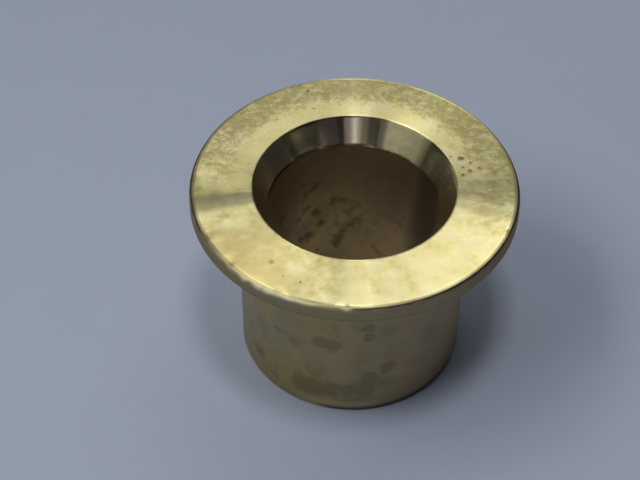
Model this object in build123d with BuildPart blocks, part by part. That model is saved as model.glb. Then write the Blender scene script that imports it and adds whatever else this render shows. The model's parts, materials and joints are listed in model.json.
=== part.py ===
from build123d import *
import math
import os

# Flanged bushing, turned in one piece from brass. Millimetres, +Z up.
# The sleeve stands on its foot and the wide, thin flange is on top.
# The origin is the centre of the foot face, and the bore runs along Z.

# Sleeve
sleeve_diameter = 34.0
foot_chamfer = 0.5  # lead-in that starts the sleeve into its housing

# Flange
overall_length = 31.5  # foot face to flange face
flange_diameter = 48.0
flange_thickness = 2.6
face_edge_round = 0.8  # rounded rim on the flange face side
under_edge_chamfer = 0.2  # broken rim on the underside
neck_fillet = 0.6  # root between the sleeve and the flange

# Bore
bore_diameter = 25.0
bore_foot_chamfer = 0.4
mouth_diameter = 29.7  # the countersink where it meets the flange face
mouth_angle = 60.0  # included angle of the countersink

# Heights of the section's corners above the foot
underside_height = overall_length - flange_thickness
mouth_wall = (mouth_diameter - bore_diameter) / 2
countersink_depth = mouth_wall / math.tan(math.radians(mouth_angle / 2))
countersink_root_height = overall_length - countersink_depth

# Corners of the half section, as (radius, height), from the bore's foot outwards
bore_foot = (bore_diameter / 2, 0)
sleeve_foot = (sleeve_diameter / 2, 0)
neck = (sleeve_diameter / 2, underside_height)
under_rim = (flange_diameter / 2, underside_height)
face_rim = (flange_diameter / 2, overall_length)
mouth = (mouth_diameter / 2, overall_length)
countersink_root = (bore_diameter / 2, countersink_root_height)

os.makedirs("parts", exist_ok=True)


def corner_at(sketch, place):
    """The corner of the sketch at a (radius, height) place."""
    return sketch.vertices().sort_by_distance(place)[0]


# Half section of the bushing, with its edges broken as the tool leaves them,
# turned about the bore
with BuildPart() as flanged_bushing:
    with BuildSketch(Plane.XZ) as half_section:
        with BuildLine():
            Polyline(
                bore_foot,
                sleeve_foot,
                neck,
                under_rim,
                face_rim,
                mouth,
                countersink_root,
                close=True,
            )
        make_face()
        chamfer(corner_at(half_section, bore_foot), length=bore_foot_chamfer)
        chamfer(corner_at(half_section, sleeve_foot), length=foot_chamfer)
        fillet(corner_at(half_section, neck), radius=neck_fillet)
        chamfer(corner_at(half_section, under_rim), length=under_edge_chamfer)
        fillet(corner_at(half_section, face_rim), radius=face_edge_round)
    revolve(axis=Axis.Z)

flanged_bushing.part.label = "flanged_bushing"
export_step(flanged_bushing.part, "parts/flanged_bushing.step")
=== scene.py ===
import json
import math
import random

import bmesh
import bpy
from mathutils import Matrix, Quaternion, Vector, kdtree, noise


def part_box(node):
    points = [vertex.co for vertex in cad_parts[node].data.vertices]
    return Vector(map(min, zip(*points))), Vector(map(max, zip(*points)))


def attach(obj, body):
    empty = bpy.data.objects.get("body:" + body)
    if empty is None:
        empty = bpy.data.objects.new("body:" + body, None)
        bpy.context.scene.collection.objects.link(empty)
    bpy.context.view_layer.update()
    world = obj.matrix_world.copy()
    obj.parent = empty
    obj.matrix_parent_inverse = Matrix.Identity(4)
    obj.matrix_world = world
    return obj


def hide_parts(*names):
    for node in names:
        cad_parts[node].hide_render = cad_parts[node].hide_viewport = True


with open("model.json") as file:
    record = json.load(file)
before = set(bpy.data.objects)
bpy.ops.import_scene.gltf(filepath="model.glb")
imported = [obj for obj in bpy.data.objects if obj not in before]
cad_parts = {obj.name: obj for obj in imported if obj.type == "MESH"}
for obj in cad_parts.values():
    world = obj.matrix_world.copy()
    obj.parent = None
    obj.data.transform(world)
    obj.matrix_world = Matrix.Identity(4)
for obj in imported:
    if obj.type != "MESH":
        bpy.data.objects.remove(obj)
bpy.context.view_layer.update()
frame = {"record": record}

# A flanged bushing turned in one piece from brass, standing on its foot with the flange on top.
# The flange face is bright from the tool and clouded with age, the countersink is smooth, the
# rim is bruised and browned, the sleeve is dull, and the bore is brown with shallow cavities.

MM = 0.001

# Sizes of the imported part
_, bushing_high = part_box("flanged_bushing")
mounts = {mount["name"]: mount for mount in frame["record"]["mounts"]}
bore_mount = mounts["bore"]

bore_radius = bore_mount["dims"]["r_mm"] * MM
sleeve_radius = mounts["sleeve"]["dims"]["r_mm"] * MM
flange_radius = bushing_high.y
face_height = bushing_high.z
underside_height = mounts["flange_underside"]["pos_m"][2]
countersink_root_height = bore_mount["pos_m"][2] + bore_mount["dims"]["length_mm"] * MM / 2
countersink_depth = face_height - countersink_root_height
countersink_half_angle = math.radians(30)
mouth_radius = bore_radius + countersink_depth * math.tan(countersink_half_angle)

# How far each edge of the section is broken
bore_foot_chamfer = 0.4 * MM
foot_chamfer = 0.5 * MM
neck_fillet = 0.6 * MM
under_edge_chamfer = 0.2 * MM
face_edge_round = 0.8 * MM
mouth_edge_round = 0.06 * MM

# Fineness of the turned surface: flats around it, made as equal sectors, and the distance
# between its rings on each surface
SIDES = 576
SECTORS = 16
FACE_SPACING = 0.25 * MM
RIM_SPACING = 0.3 * MM
BORE_SPACING = 0.4 * MM
COUNTERSINK_SPACING = 0.4 * MM
SLEEVE_SPACING = 1.1 * MM

# The finishes' slots, in the order in which make_bushing adds them
FACE, COUNTERSINK, BORE, RIM, SLEEVE = range(5)

# Wear. Angles are in degrees, from the right-hand side round by the back, and sizes in mm.

# How far a hollow's outline wanders, as a share of its width, and how finely per millimetre
RAGGEDNESS = 0.45
RAGGED_SCALE = 1.1

# Pits in the flange face, all of one depth: angle, radius, width
FACE_PIT_DEPTH = 0.008
FACE_PITS = [
    (-125.3, 19.3, 0.7),
    (-117.0, 20.6, 0.4),
    (110.6, 21.5, 0.7),
    (112.0, 17.5, 0.4),
    (97.0, 19.6, 0.5),
    (93.0, 17.6, 0.5),
    (87.0, 19.6, 0.5),
    (25.0, 15.5, 0.35),
    (21.5, 16.8, 0.8),
    (17.5, 17.7, 0.35),
    (15.5, 16.4, 0.4),
    (12.5, 17.2, 0.8),
    (13.5, 18.6, 0.5),
    (10.0, 16.0, 0.4),
    (-174.5, 16.9, 0.4),
    (-159.6, 19.3, 0.4),
    (-110.0, 20.5, 0.4),
]

# Amber stains on the flange face: centre, width
FACE_STAINS = [
    ((-14.5, -13.0, 31.5), 17.0),
    ((-12.6, -16.4, 31.5), 9.0),
    ((19.5, -6.5, 31.5), 5.0),
]

# Cavities in the bore's wall: width, depth, and the route as angles and heights
BORE_CAVITIES = [
    (1.5, 0.10, [(126, 19.3), (118, 20.2)]),
    (1.2, 0.08, [(126, 15.9)]),
    (1.7, 0.14, [(118, 14.3)]),
    (1.5, 0.10, [(114, 11.2)]),
    (1.4, 0.10, [(151, 17.4)]),
    (2.0, 0.16, [(126, 9.5), (130, 9.5)]),
    (1.5, 0.10, [(105, 15.6), (97, 15.8), (88, 14.7), (94, 13.1)]),
    (1.5, 0.10, [(87.5, 11.1), (93, 10.1), (99, 8.8), (103, 5.9)]),
]

# Smaller pits strewn over the bore's wall, between two widths and two heights
BORE_PIT_COUNT = 45
BORE_PIT_WIDTHS = (0.3, 0.8)
BORE_PIT_HEIGHTS = (2, 24)

# Bruises on the rounded edge of the flange face: angle, width, depth
EDGE_BRUISES = [
    (-152.0, 1.4, 0.05),
    (-138.0, 1.7, 0.07),
    (-123.0, 1.6, 0.08),
    (-114.0, 1.6, 0.08),
    (-92.0, 1.3, 0.06),
    (-20.0, 1.1, 0.04),
]

# Smudges on the sleeve: angle, height, width
SLEEVE_SMUDGES = [
    (-129.5, 14.4, 2.4),
    (-104.0, 15.3, 4.6),
    (-99.0, 15.0, 5.0),
    (-80.5, 19.0, 3.0),
    (-80.5, 17.0, 3.0),
    (-116.0, 4.4, 5.5),
    (-108.0, 4.6, 6.5),
    (-99.0, 5.0, 6.5),
    (-90.0, 4.8, 6.5),
    (-82.0, 5.6, 6.5),
    (-79.0, 8.0, 4.0),
    (-70.0, 9.5, 5.0),
]

# Spots of rust on the sleeve: angle, height, width
SLEEVE_RUST = [
    (-143.0, 5.5, 4.5),
]

# Painted highlights and painted shade on the countersink, in sectors each laid over the last: angle,
# spread, tone
COUNTERSINK_PAINTED_LIGHT = [
    (75.0, 5.5, (0.20, 0.18, 0.12)),
    (82.0, 6.0, (0.75, 0.64, 0.50)),
    (108.0, 9.0, (0.60, 0.50, 0.44)),
    (91.5, 9.0, (0.51, 0.45, 0.34)),
    (97.0, 6.0, (0.18, 0.15, 0.12)),
    (188.0, 34.0, (0.84, 0.79, 0.64)),
    (-6.0, 44.0, (0.94, 0.88, 0.66)),
    (16.0, 9.0, (0.50, 0.46, 0.34)),
    (149.0, 13.0, (0.42, 0.385, 0.32)),
]

# Lamps hung level over the floor, in metres: name, place, size, brightness, turn in degrees
LAMP_HEIGHT = 0.62
HUNG_LAMPS = [
    ("overhead", (0.0, 0.424), (0.18, 0.335), 1.3, 0),
    ("overhead_left", (-0.258, 0.301), (0.5, 0.45), 1.2, 18),
    ("overhead_right", (0.180, 0.342), (0.29, 0.45), 1.7, -13),
    ("far_left", (-0.24, 0.64), (0.16, 0.04), 4.8, 0),
    ("key", (0.012, -0.117), (0.1, 0.1), 37.0, 0),
    ("left", (-0.42, -0.18), (0.27, 0.51), 8.0, 0),
]

# Lamps on stands, aimed at the bushing: name, place, size, brightness
STANDING_LAMPS = [
    ("low_left", (-0.71, -0.62, 0.34), (0.85, 0.45), 0.45),
    ("front", (0.075, -0.95, 0.33), (0.28, 0.3), 1.0),
]

FLOOR_REACH = 3.0  # from the middle of the floor to its edge, in metres


# ---------------------------------------------------------------- shader maths


class Value:
    """A number or vector that changes over a surface. Arithmetic on a number adds Math nodes."""

    def __init__(self, finish, output):
        self.finish = finish
        self.output = output

    def math(self, operation, *numbers):
        inputs = dict(zip(("Value", "Value_001"), numbers))
        return self.finish.node("ShaderNodeMath", {"operation": operation}, inputs)

    def __add__(self, other):
        return self.math("ADD", self, other)

    def __sub__(self, other):
        return self.math("SUBTRACT", self, other)

    def __rsub__(self, other):
        return self.math("SUBTRACT", other, self)

    def __mul__(self, other):
        return self.math("MULTIPLY", self, other)

    __radd__ = __add__
    __rmul__ = __mul__

    def root(self):
        return self.math("SQRT", self)

    def larger(self, other):
        return self.math("MAXIMUM", self, other)


class Finish:
    """One finish of the bushing, with the nodes that vary it over the surface."""

    def __init__(self, name, **constants):
        self.material = bpy.data.materials.new(name)
        self.material.use_nodes = True
        self.tree = self.material.node_tree
        self.shader = self.tree.nodes["Principled BSDF"]
        for socket, number in constants.items():
            self.shader.inputs[socket.replace("_", " ")].default_value = number
        place = self.node("ShaderNodeTexCoord", output="Object")
        self.where = self.vector_math("SCALE", place, factor=1 / MM)

    def node(self, kind, settings=None, inputs=None, output=None):
        """Adds a node with its settings, then its sockets' values or links, and gives one output."""
        node = self.tree.nodes.new(kind)
        for setting, choice in (settings or {}).items():
            setattr(node, setting, choice)
        sockets = {socket.identifier: socket for socket in node.inputs}
        for identifier, source in (inputs or {}).items():
            if isinstance(source, Value):
                self.tree.links.new(source.output, sockets[identifier])
            else:
                sockets[identifier].default_value = source
        outputs = {socket.identifier: socket for socket in node.outputs}
        found = outputs[output] if output else next(s for s in node.outputs if s.enabled)
        return Value(self, found)

    def feed(self, socket, value):
        """Links a varying value to one of the shader's sockets."""
        self.tree.links.new(value.output, self.shader.inputs[socket])

    def vector_math(self, operation, first, second=None, factor=None):
        inputs = {"Vector": first}
        if second is not None:
            inputs["Vector_001"] = second
        if factor is not None:
            inputs["Scale"] = factor
        return self.node("ShaderNodeVectorMath", {"operation": operation}, inputs)

    def vector(self, x, y, z):
        return self.node("ShaderNodeCombineXYZ", None, {"X": x, "Y": y, "Z": z})

    def parts(self, vector):
        """The X, Y and Z of a vector."""
        inputs = {"Vector": vector}
        return [self.node("ShaderNodeSeparateXYZ", None, inputs, axis) for axis in "XYZ"]

    def turned(self):
        """The heading away from the bore's axis as a unit X and Y, the radius and the height."""
        x, y, height = self.parts(self.where)
        radius = (x * x + y * y).root()
        heading = self.vector_math("NORMALIZE", self.vector(x, y, 0.0))
        return heading, radius, height

    def noise(self, where, scale, detail=2.0, roughness=0.5, distortion=0.0):
        inputs = {
            "Vector": where,
            "Scale": scale,
            "Detail": detail,
            "Roughness": roughness,
            "Distortion": distortion,
        }
        return self.node("ShaderNodeTexNoise", None, inputs, "Fac")

    def rise(self, value, low, high):
        """Goes smoothly from 0 to 1 as the value goes from low to high."""
        inputs = {"Value": value, "From Min": low, "From Max": high}
        settings = {"interpolation_type": "SMOOTHSTEP"}
        return self.node("ShaderNodeMapRange", settings, inputs, "Result")

    def wandering(self, scale, reach):
        """The place, pushed about by up to half a reach, so that shapes drawn on it are ragged."""
        inputs = {"Vector": self.where, "Scale": scale, "Detail": 3.0}
        push = self.node("ShaderNodeTexNoise", None, inputs, "Color")
        push = self.vector_math("SUBTRACT", push, (0.5, 0.5, 0.5))
        return self.vector_math("ADD", self.where, self.vector_math("SCALE", push, factor=reach))

    def spots(self, where, places):
        """Soft round spots, each given by its centre and width: 1 in the middle and 0 at the rim."""
        cover = None
        for centre, width in places:
            distance = self.vector_math("DISTANCE", where, centre)
            spot = self.rise(distance, width / 2, 0.0)
            cover = cover.larger(spot) if cover else spot
        return cover

    def towards(self, heading, angle, spread):
        """1 at one angle round the bushing, fading to 0 at a spread of degrees either side."""
        turn = math.radians(angle)
        facing = self.vector_math("DOT_PRODUCT", heading, (math.cos(turn), math.sin(turn), 0.0))
        return self.rise(facing, math.cos(math.radians(spread)), 1.0)

    def pitting(self):
        """How deep in a pit or cavity a place is, as modelled."""
        settings = {"attribute_name": "pitting", "attribute_type": "GEOMETRY"}
        return self.node("ShaderNodeAttribute", settings, None, "Fac")

    def mix(self, mask, without, full):
        """Blends two colours, or a colour and a varying one, by a mask."""
        inputs = {"Factor_Float": mask, "A_Color": without, "B_Color": full}
        return self.node("ShaderNodeMix", {"data_type": "RGBA"}, inputs, "Result_Color")

    def bump(self, height):
        """A relief given in millimetres."""
        inputs = {"Height": height, "Distance": MM, "Strength": 1.0}
        self.feed("Normal", self.node("ShaderNodeBump", None, inputs))


def colour(red, green, blue):
    return (red, green, blue, 1.0)


# ---------------------------------------------------------------- finishes

PIT_BROWN = colour(0.085, 0.06, 0.03)


def faced_brass():
    """Flange face: bright brass, faced on a lathe, clouded olive with an amber stain."""
    finish = Finish("faced_brass", Metallic=1.0, Anisotropic=1.0, Anisotropic_Rotation=0.25)
    heading, radius, _ = finish.turned()
    _, y, _ = finish.parts(finish.where)
    clouds = finish.noise(finish.where, 0.28, detail=3.0, roughness=0.55, distortion=0.3)
    mottle = finish.noise(finish.where, 0.5, detail=2.0, roughness=0.5)
    flecks = finish.noise(finish.where, 0.95, detail=3.0, roughness=0.6)
    grain = finish.noise(finish.where, 1.2, detail=3.0, roughness=0.6)
    specks = finish.noise(finish.where, 2.6, detail=2.0, roughness=0.6)
    spokes = finish.vector_math("SCALE", heading, factor=6.0)
    streaks = finish.noise(spokes, 1.0, detail=2.0, roughness=0.5)

    # Bright brass, yellower in places
    bright = colour(0.95, 0.87, 0.48)
    yellow = colour(0.90, 0.80, 0.38)
    deep_yellow = colour(0.95, 0.81, 0.29)
    tone = finish.mix(finish.rise(clouds, 0.30, 0.65), bright, yellow)
    tone = finish.mix(finish.rise(mottle, 0.46, 0.70) * 0.6, tone, deep_yellow)

    # Olive tarnish in small patches. Painted shade makes it heaviest on the outer part of the back
    # half, and a painted highlight thins it in the gleams beside the mouth and over the front right.
    olive = colour(0.54, 0.485, 0.20)
    back = finish.rise(y, -8.0, 12.0)
    outer = finish.rise(radius, 16.0, 20.5)
    painted_gleams = finish.towards(heading, 151.0, 25.0) + finish.towards(heading, -177.0, 10.0)
    painted_gleams = painted_gleams + finish.towards(heading, 112.0, 17.0) + finish.towards(heading, 70.0, 16.0)
    painted_gleams = painted_gleams * (1.0 - outer)
    painted_highlight = painted_gleams * 1.2 + finish.towards(heading, -40.0, 60.0)
    tarnish_and_painted_shade = clouds * 0.35 + mottle * 0.3 + grain * 0.2 + streaks * 0.15
    patches = (specks - 0.5) * 0.25 + (flecks - 0.5) * 0.6
    tarnish_and_painted_shade = tarnish_and_painted_shade + back * (outer * 0.22 - 0.09 + patches) - painted_highlight * 0.08
    tone = finish.mix(finish.rise(tarnish_and_painted_shade, 0.42, 0.72), tone, olive)

    # Painted shade: dull bands across the left and right, and darker spokes at the front and back
    painted_band_olive = colour(0.36, 0.325, 0.18)
    painted_spoke_olive = colour(0.40, 0.36, 0.19)
    painted_dull_bands = finish.towards(heading, -167.5, 6.0) * 0.75 + finish.towards(heading, -4.0, 15.0) * 0.3
    tone = finish.mix(painted_dull_bands, tone, painted_band_olive)
    painted_spoke_shade = finish.towards(heading, -91.0, 9.0) + finish.towards(heading, 92.0, 9.0)
    tone = finish.mix(painted_spoke_shade * 0.4, tone, painted_spoke_olive)

    # Greener on the rounded edge, most of all at the back and the front left
    green_olive = colour(0.48, 0.46, 0.23)
    edge = finish.rise(radius, 23.0, 23.5)
    bruised = finish.towards(heading, -115.0, 50.0)
    tone = finish.mix(edge * (back + bruised) * 0.8, tone, green_olive)

    # Amber stain at the front left, out to the rounded edge, and a small one at the right
    amber = colour(0.66, 0.53, 0.22)
    stain = finish.spots(finish.wandering(0.4, 8.0), FACE_STAINS)
    outer_stain = finish.towards(heading, -126.0, 24.0) * finish.rise(radius, 17.0, 21.5)
    stain = stain.larger(outer_stain * (1.0 - edge))
    tone = finish.mix(stain * 0.8, tone, amber)

    pits = finish.rise(finish.pitting() + grain * 0.4, 0.35, 1.05)
    finish.feed("Base Color", finish.mix(pits * 0.6, tone, PIT_BROWN))

    # Rougher near the mouth at the back, at the left, in the pits and on both edges
    coarse = back * (1.0 - outer) * 0.07 + finish.towards(heading, 172.0, 22.0) * 0.06
    roughness = 0.15 + clouds * 0.06 + mottle * 0.06 + coarse + pits * 0.2
    mouth_edge = finish.rise(radius, 15.1, 14.9)
    edges = edge * ((back + bruised) * 0.35 + 0.15) + mouth_edge * 0.3
    finish.feed("Roughness", roughness + edges)

    # Faint waves, and fine rings from the tool
    across = finish.vector(radius * 8.0, streaks * 0.8, 0.0)
    rings = finish.noise(across, 1.0, detail=1.0, roughness=0.5)
    waves = streaks * 0.010 + clouds * 0.012 + mottle * 0.003 + grain * 0.001
    finish.bump(waves + rings * 0.003)
    return finish.material


def countersunk_brass():
    """Countersink: smoothly cut brass with fine rings from the tool, painted reflections round it
    and painted shade on the left.
    """
    finish = Finish("countersunk_brass", Metallic=1.0, Anisotropic=0.78, Anisotropic_Rotation=0.25)
    heading, _, height = finish.turned()
    clouds = finish.noise(finish.where, 0.5, detail=4.0, roughness=0.6)
    spokes = finish.vector_math("SCALE", heading, factor=9.0)
    streaks = finish.noise(spokes, 1.8, detail=3.0, roughness=0.6)
    light = colour(0.58, 0.53, 0.31)
    olive = colour(0.50, 0.45, 0.25)
    tone = finish.mix(finish.rise(clouds, 0.35, 0.65), light, olive)
    # Painted reflections and painted shade in sectors round the countersink
    for angle, spread, painted_tone in COUNTERSINK_PAINTED_LIGHT:
        tone = finish.mix(finish.towards(heading, angle, spread), tone, colour(*painted_tone))

    # Painted shade: near black at the back left, less so towards the face, and brown at the root
    # below it
    painted_shade_black = colour(0.065, 0.056, 0.05)
    painted_root_shade = colour(0.08, 0.065, 0.05)
    painted_dark = finish.rise(finish.towards(heading, 126.0, 16.0), 0.0, 0.83)
    painted_dark = painted_dark * (1.0 - finish.rise(height, 28.8, 31.2) * 0.4)
    tone = finish.mix(painted_dark, tone, painted_shade_black)
    around = finish.rise(finish.towards(heading, 130.0, 60.0), 0.0, 0.5)
    # Painted shade along the root at the back
    root = finish.rise(height, 27.9, 27.65) * around
    tone = finish.mix(root, tone, painted_root_shade)
    finish.feed("Base Color", tone)

    # Rougher in three sectors, where the gleams have soft edges, and at the root at the back left
    soft = finish.towards(heading, 45.0, 7.0) * 0.15 + finish.towards(heading, 86.0, 5.0) * 0.08
    soft = soft + finish.towards(heading, 150.0, 26.0) * 0.12
    soft = soft + finish.rise(height, 28.0, 27.7) * finish.towards(heading, 127.0, 15.0) * 0.5
    finish.feed("Roughness", 0.15 + clouds * 0.04 + soft)

    # Streaks down the slope, rings from the tool and ripples that break them up
    up_slope = finish.vector(height * 4.0, streaks * 0.6, 0.0)
    rings = finish.noise(up_slope, 1.0, detail=2.0, roughness=0.6)
    lift = finish.vector(0.0, 0.0, height * 2.5)
    ripples = finish.noise(finish.vector_math("ADD", spokes, lift), 1.4)
    finish.bump(streaks * 0.006 + rings * 0.008 + ripples * 0.009)
    return finish.material


def bore_brass():
    """Bore: brown brass with a mottled skin and shallow, dark cavities."""
    finish = Finish("bore_brass")
    heading, _, height = finish.turned()
    clouds = finish.noise(finish.where, 0.20, detail=5.0, roughness=0.6, distortion=0.5)
    grain = finish.noise(finish.where, 0.9, detail=4.0, roughness=0.65)
    tan = colour(0.69, 0.50, 0.23)
    brown = colour(0.50, 0.37, 0.19)
    dark_brown = colour(0.30, 0.22, 0.13)
    tone = finish.mix(finish.rise(clouds, 0.35, 0.65), tan, brown)
    tone = finish.mix(finish.rise(grain, 0.5, 0.75) * 0.35, tone, dark_brown)

    # Painted shade: darker towards the countersink, on both flanks and close under the countersink's
    # root
    painted_shade_brown = colour(0.16, 0.125, 0.08)
    painted_shade = finish.rise(height, 7.0, 24.0) * 0.6
    painted_shade = painted_shade.larger(finish.towards(heading, 22.0, 33.0) * 0.95)
    painted_shade = painted_shade.larger(finish.towards(heading, 172.0, 46.0) * 0.75)
    painted_shade = painted_shade.larger(finish.rise(height, 27.2, 27.4) * finish.towards(heading, 112.0, 68.0))
    tone = finish.mix(painted_shade, tone, painted_shade_brown)

    # Browner, less metallic and rougher in the cavities
    pits = finish.rise(finish.pitting() + grain * 0.8, 0.45, 1.7)
    finish.feed("Base Color", finish.mix(pits * 0.75, tone, PIT_BROWN))
    finish.feed("Metallic", 1.0 - pits * 0.5)
    finish.feed("Roughness", 0.42 + grain * 0.12 + pits * 0.25)
    up_wall = finish.vector(height * 3.0, clouds, 0.0)
    rings = finish.noise(up_wall, 1.0, detail=2.0, roughness=0.5)
    finish.bump(clouds * 0.05 + grain * 0.02 + rings * 0.003)
    return finish.material


def browned_rim():
    """Rim and underside of the flange: dull brass, brown close under the face edge."""
    finish = Finish("browned_rim", Specular_Tint=colour(0.5, 0.45, 0.4))
    heading, _, height = finish.turned()
    clouds = finish.noise(finish.where, 0.35, detail=4.0, roughness=0.6, distortion=0.3)
    grain = finish.noise(finish.where, 1.4, detail=4.0, roughness=0.65)
    dull_brass = colour(0.43, 0.35, 0.22)
    duller_brass = colour(0.35, 0.29, 0.19)
    brown = colour(0.22, 0.17, 0.11)
    tone = finish.mix(finish.rise(clouds, 0.35, 0.65), dull_brass, duller_brass)
    tone = finish.mix(finish.rise(grain, 0.55, 0.75) * 0.5, tone, brown)

    # Olive at the front left, like the sleeve, and duller at the front right
    olive = colour(0.345, 0.29, 0.165)
    dull_brown = colour(0.34, 0.28, 0.19)
    front_left = finish.towards(heading, -115.0, 60.0)
    tone = finish.mix(finish.rise(front_left, 0.0, 0.5) * 0.85, tone, olive)
    front_right = finish.towards(heading, -28.0, 62.0)
    tone = finish.mix(finish.rise(front_right, 0.0, 0.5) * 0.6, tone, dull_brown)

    # Brown close under the face edge, except where that edge is bruised
    edge_brown = colour(0.10, 0.065, 0.06)
    bruised = finish.towards(heading, -120.0, 40.0)
    edge = finish.rise(height + clouds * 0.4, 31.3, 31.5) * (1.0 - bruised)
    tone = finish.mix(edge, tone, edge_brown)

    # Pale raised metal under the bruised edge, made paler and matt as a painted highlight
    pale_worn_highlight = colour(0.56, 0.53, 0.36)
    lumps = finish.noise(finish.where, 0.45, detail=1.0, roughness=0.5)
    worn_highlight = finish.towards(heading, -116.0, 24.0).larger(finish.towards(heading, -92.0, 3.5))
    worn_highlight = worn_highlight * finish.rise(height + lumps * 2.2 + worn_highlight * 0.5, 32.2, 33.1)
    finish.feed("Base Color", finish.mix(worn_highlight, tone, pale_worn_highlight))
    finish.feed("Metallic", 1.0 - worn_highlight * 0.8)
    finish.feed("Roughness", 0.5 + grain * 0.16)
    finish.bump(clouds * 0.03 + grain * 0.01)
    return finish.material


def sleeve_brass():
    """Sleeve and foot: dull brass, handled and smudged."""
    finish = Finish("sleeve_brass", Metallic=1.0)
    heading, _, height = finish.turned()
    clouds = finish.noise(finish.where, 0.14, detail=4.0, roughness=0.6, distortion=0.5)
    mottle = finish.noise(finish.where, 0.3, detail=2.0, roughness=0.5)
    grain = finish.noise(finish.where, 1.1, detail=3.0, roughness=0.55)
    dull_brass = colour(0.43, 0.335, 0.165)
    duller_brass = colour(0.375, 0.305, 0.18)
    tone = finish.mix(finish.rise(clouds, 0.35, 0.65), dull_brass, duller_brass)

    # Yellower low at the front left, pinker at the front right, cooler on the far left
    yellow = finish.towards(heading, -128.0, 34.0) * finish.rise(height, 13.0, 6.0)
    tone = finish.mix(yellow * 0.7, tone, colour(0.42, 0.35, 0.12))
    pink = finish.towards(heading, -48.0, 34.0) * finish.rise(mottle, 0.3, 0.6)
    tone = finish.mix(pink * 0.6, tone, colour(0.42, 0.30, 0.20))
    cool = finish.towards(heading, -178.0, 28.0)
    tone = finish.mix(cool * 0.5, tone, colour(0.29, 0.31, 0.26))

    # Darker blotches, thicker in a low belt at the front
    belt = finish.towards(heading, -94.0, 42.0) * finish.rise(height, 9.0, 5.5)
    belt = belt * finish.rise(height, 1.6, 3.0)
    blotches = finish.rise(mottle * 0.85 + grain * 0.15 + belt * 0.12, 0.48, 0.74)
    tone = finish.mix(blotches * 0.5, tone, colour(0.24, 0.20, 0.105))

    # Smudges, and a spot of rust
    smudges = finish.spots(finish.wandering(0.35, 2.0), sleeve_places(SLEEVE_SMUDGES))
    smudges = smudges + (mottle - 0.5) * 0.6
    tone = finish.mix(finish.rise(smudges, 0.05, 0.7) * 0.6, tone, colour(0.21, 0.175, 0.095))
    rust = finish.spots(finish.wandering(0.5, 2.0), sleeve_places(SLEEVE_RUST))
    tone = finish.mix(rust * 0.6, tone, colour(0.24, 0.15, 0.10))

    # Paler on the foot's lip at the front, and a painted contact shadow by the floor at the front
    # right
    lip = finish.towards(heading, -93.0, 28.0) * finish.rise(height, 2.6, 1.2)
    tone = finish.mix(lip * 0.7, tone, colour(0.58, 0.48, 0.28))
    front_right = finish.rise(finish.towards(heading, -40.0, 75.0), 0.0, 0.3)
    painted_contact_shadow = finish.rise(height, 1.4, 0.2) * front_right
    tone = finish.mix(painted_contact_shadow * 0.9, tone, colour(0.05, 0.04, 0.04))
    finish.feed("Base Color", tone)
    finish.feed("Roughness", 0.42 + grain * 0.12)
    finish.bump(clouds * 0.04 + mottle * 0.012 + grain * 0.003)
    return finish.material


# ---------------------------------------------------------------- the bushing


def ring_place(angle, radius, height):
    """A place on the bushing from its angle in degrees, radius and height."""
    turn = math.radians(angle)
    return Vector((radius * math.cos(turn), radius * math.sin(turn), height))


def sleeve_places(marks):
    """Centres and widths of the marks on the sleeve, in millimetres."""
    places = []
    for angle, height, width in marks:
        places.append((tuple(ring_place(angle, sleeve_radius / MM, height)), width))
    return places


def section_corners():
    """Corners of the half section, from the bore's foot outwards: radius, height, break, steps."""
    return [
        (bore_radius, 0.0, bore_foot_chamfer, 1),
        (sleeve_radius, 0.0, foot_chamfer, 2),
        (sleeve_radius, underside_height, neck_fillet, 4),
        (flange_radius, underside_height, under_edge_chamfer, 1),
        (flange_radius, face_height, face_edge_round, 6),
        (mouth_radius, face_height, mouth_edge_round, 2),
        (bore_radius, countersink_root_height, mouth_edge_round, 2),
    ]


def turned_blank():
    """The bushing's half section, drawn as a wire and spun about the bore."""
    blank = bmesh.new()
    corners = []
    for radius, height, _, _ in section_corners():
        corners.append(blank.verts.new((radius, 0, height)))
    for first, second in zip(corners, corners[1:] + corners[:1]):
        blank.edges.new((first, second))
    for corner, (_, _, offset, steps) in zip(corners, section_corners()):
        bmesh.ops.bevel(
            blank,
            geom=[corner],
            offset=offset,
            segments=steps,
            profile=0.5,
            affect="VERTICES",
            material=-1,
        )
    for run in list(blank.edges):
        pieces = round(run.calc_length() / spacing_of(run))
        if pieces > 1:
            bmesh.ops.subdivide_edges(blank, edges=[run], cuts=pieces - 1)
    sector = math.tau / SECTORS
    spin_about_bore(blank, sector, SIDES // SECTORS, copies=False)
    spin_about_bore(blank, math.tau - sector, SECTORS - 1, copies=True)
    bmesh.ops.remove_doubles(blank, verts=blank.verts, dist=MM / 1000)
    bmesh.ops.recalc_face_normals(blank, faces=blank.faces[:])
    return blank


def spin_about_bore(blank, angle, steps, copies):
    """Sweeps the shape about the bore, or sets copies of it side by side."""
    bmesh.ops.spin(
        blank,
        geom=blank.verts[:] + blank.edges[:] + blank.faces[:],
        cent=(0, 0, 0),
        axis=(0, 0, 1),
        angle=angle,
        steps=steps,
        use_duplicate=copies,
    )


def spacing_of(run):
    """How far apart the rings stand along a run of the section."""
    middle = (run.verts[0].co + run.verts[1].co) / 2
    hair = MM / 100
    if middle.z > face_height - hair:
        return FACE_SPACING
    if middle.x < bore_radius + hair:
        return BORE_SPACING
    if middle.x > flange_radius - hair:
        return RIM_SPACING
    if middle.x < mouth_radius and middle.z > countersink_root_height:
        return COUNTERSINK_SPACING
    return SLEEVE_SPACING


def surface_of(face):
    """Which finish a face of the bushing has."""
    middle = face.calc_center_median()
    radius = math.hypot(middle.x, middle.y)
    bright_height = face_height - face_edge_round * 0.1  # a little way down the rounded edge
    if middle.z > bright_height and radius > mouth_radius:
        return FACE
    if radius < mouth_radius and middle.z > countersink_root_height:
        return COUNTERSINK
    if radius < bore_radius + mouth_edge_round:
        return BORE
    if radius > sleeve_radius + neck_fillet:
        return RIM
    return SLEEVE


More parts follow.
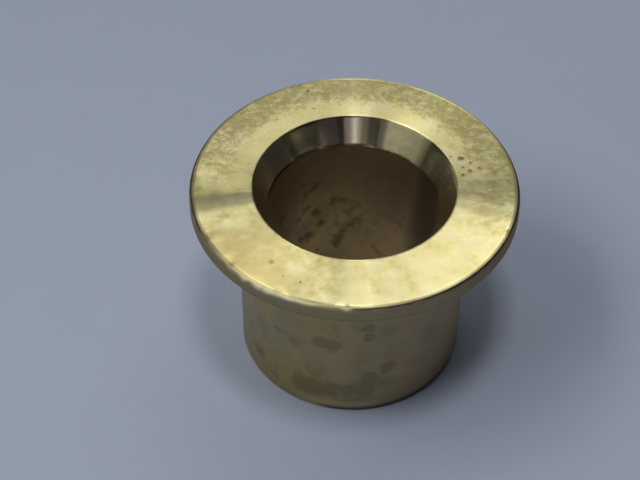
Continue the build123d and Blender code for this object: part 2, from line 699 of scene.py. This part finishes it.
def wear(blank):
    """Presses the pits, cavities and bruises into the blank, and marks how deep each place is."""
    blank.verts.ensure_lookup_table()
    blank.normal_update()
    finder = kdtree.KDTree(len(blank.verts))
    for vertex in blank.verts:
        finder.insert(vertex.co, vertex.index)
    finder.balance()
    depth_layer = blank.verts.layers.float.new("pitting")

    for angle, radius, width in FACE_PITS:
        route = [ring_place(angle, radius * MM, face_height)]
        press(blank, finder, depth_layer, route, width * MM, FACE_PIT_DEPTH * MM)
    for width, depth, turns in BORE_CAVITIES:
        route = [ring_place(angle, bore_radius, height * MM) for angle, height in turns]
        press(blank, finder, depth_layer, route, width * MM, depth * MM)
    chance = random.Random(7)
    for _ in range(BORE_PIT_COUNT):
        angle = chance.uniform(0, 360)
        height = chance.uniform(*BORE_PIT_HEIGHTS) * MM
        width = chance.uniform(*BORE_PIT_WIDTHS) * MM
        place = ring_place(angle, bore_radius, height)
        press(blank, finder, depth_layer, [place], width, width / 10)
    edge_inset = 0.3 * face_edge_round  # to the middle of the rounded edge
    edge_radius = flange_radius - edge_inset
    edge_height = face_height - edge_inset
    for angle, width, depth in EDGE_BRUISES:
        route = [ring_place(angle, edge_radius, edge_height)]
        press(blank, finder, None, route, width * MM, depth * MM)


def press(blank, finder, depth_layer, route, width, depth):
    """Presses a ragged hollow along a route. Its width is the distance it reaches either side."""
    shares = {}
    for place in along(route, width / 3):
        for where, index, distance in finder.find_range(place, width):
            wander = RAGGEDNESS * noise.noise(where / MM * RAGGED_SCALE)
            share = max(0.0, min(1.0, 1 - distance / width + wander))
            smooth = share * share * (3 - 2 * share)
            shares[index] = max(shares.get(index, 0.0), smooth)
    for index, share in shares.items():
        vertex = blank.verts[index]
        vertex.co -= vertex.normal * depth * share
        if depth_layer:
            vertex[depth_layer] = max(vertex[depth_layer], share)


def along(route, step):
    """Places along a route, about a step apart."""
    places = list(route[:1])
    for start, end in zip(route, route[1:]):
        pieces = max(1, round((end - start).length / step))
        places += [start.lerp(end, piece / pieces) for piece in range(1, pieces + 1)]
    return places


def make_bushing():
    """The bushing in its five finishes, in place of the plain solid."""
    blank = turned_blank()
    for face in blank.faces:
        face.smooth = True
        face.material_index = surface_of(face)
    wear(blank)
    mesh = bpy.data.meshes.new("bushing")
    blank.to_mesh(mesh)
    blank.free()
    for finish in (faced_brass, countersunk_brass, bore_brass, browned_rim, sleeve_brass):
        mesh.materials.append(finish())
    bushing = bpy.data.objects.new("bushing", mesh)
    bpy.context.collection.objects.link(bushing)
    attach(bushing, "root")
    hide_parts("flanged_bushing")


# ---------------------------------------------------------------- studio


def make_floor():
    """A sheet of pale paper, with painted shade and painted light across it."""
    sheet = bmesh.new()
    bmesh.ops.create_grid(sheet, x_segments=1, y_segments=1, size=FLOOR_REACH)
    mesh = bpy.data.meshes.new("floor")
    sheet.to_mesh(mesh)
    sheet.free()
    finish = Finish("floor_paper", Roughness=0.9)
    fibres = finish.noise(finish.where, 0.12, detail=5.0, roughness=0.6)
    tone = finish.mix(fibres, colour(0.275, 0.312, 0.395), colour(0.29, 0.328, 0.41))

    # Painted shade: dimmer behind the bushing at the left
    x, y, _ = finish.parts(finish.where)
    painted_dimming = finish.rise(y - x, 0.0, 220.0) * 0.6
    tone = finish.mix(painted_dimming, tone, colour(0.225, 0.258, 0.33))

    # Painted light: paler away from the lamps, so that low views keep a pale background
    _, radius, _ = finish.turned()
    tone = finish.mix(finish.rise(radius, 250.0, 1300.0), tone, colour(0.80, 0.84, 0.92))
    finish.feed("Base Color", tone)
    mesh.materials.append(finish.material)
    floor = bpy.data.objects.new("floor", mesh)
    bpy.context.collection.objects.link(floor)


def make_lamp(name, place, aim, size, radiance, turn=0.0):
    """A flat soft lamp of a given size in metres, as bright as asked whatever its size."""
    lamp = bpy.data.lights.new(name, "AREA")
    lamp.shape = "RECTANGLE"
    lamp.size, lamp.size_y = size
    lamp.energy = radiance * math.pi * size[0] * size[1]
    holder = bpy.data.objects.new(name, lamp)
    holder.location = place
    facing = (Vector(aim) - Vector(place)).to_track_quat("-Z", "Y")
    facing @= Quaternion((0.0, 0.0, 1.0), math.radians(turn))
    holder.rotation_euler = facing.to_euler()
    bpy.context.collection.objects.link(holder)


def light_studio():
    """Soft lamps over the floor and on stands, and a faint grey light from all round."""
    for name, (x, y), size, radiance, turn in HUNG_LAMPS:
        make_lamp(name, (x, y, LAMP_HEIGHT), (x, y, 0.0), size, radiance, turn)
    bushing_middle = (0.0, 0.0, 0.03)
    for name, place, size, radiance in STANDING_LAMPS:
        make_lamp(name, place, bushing_middle, size, radiance)
    world = bpy.data.worlds.new("studio")
    bpy.context.scene.world = world
    world.use_nodes = True
    background = world.node_tree.nodes["Background"]
    background.inputs["Color"].default_value = colour(0.03, 0.032, 0.036)


def place_camera():
    """Looks down into the mouth from the front, from about 22 cm away."""
    aim = Vector((-4.60, -11.28, 31.5)) * MM
    place = Vector((0.0, -162.06, 191.08)) * MM
    roll = math.radians(0.53)
    camera = bpy.data.cameras.new("camera")
    camera.lens = 88.25
    camera.sensor_width = 36.0
    camera.clip_start = 0.01
    holder = bpy.data.objects.new("camera", camera)
    turn = (aim - place).to_track_quat("-Z", "Y").to_matrix() @ Matrix.Rotation(roll, 3, "Z")
    holder.matrix_world = Matrix.Translation(place) @ turn.to_4x4()
    bpy.context.collection.objects.link(holder)
    bpy.context.scene.camera = holder


bpy.context.scene.view_settings.view_transform = "Standard"
make_bushing()
make_floor()
light_studio()
place_camera()

bpy.context.view_layer.update()
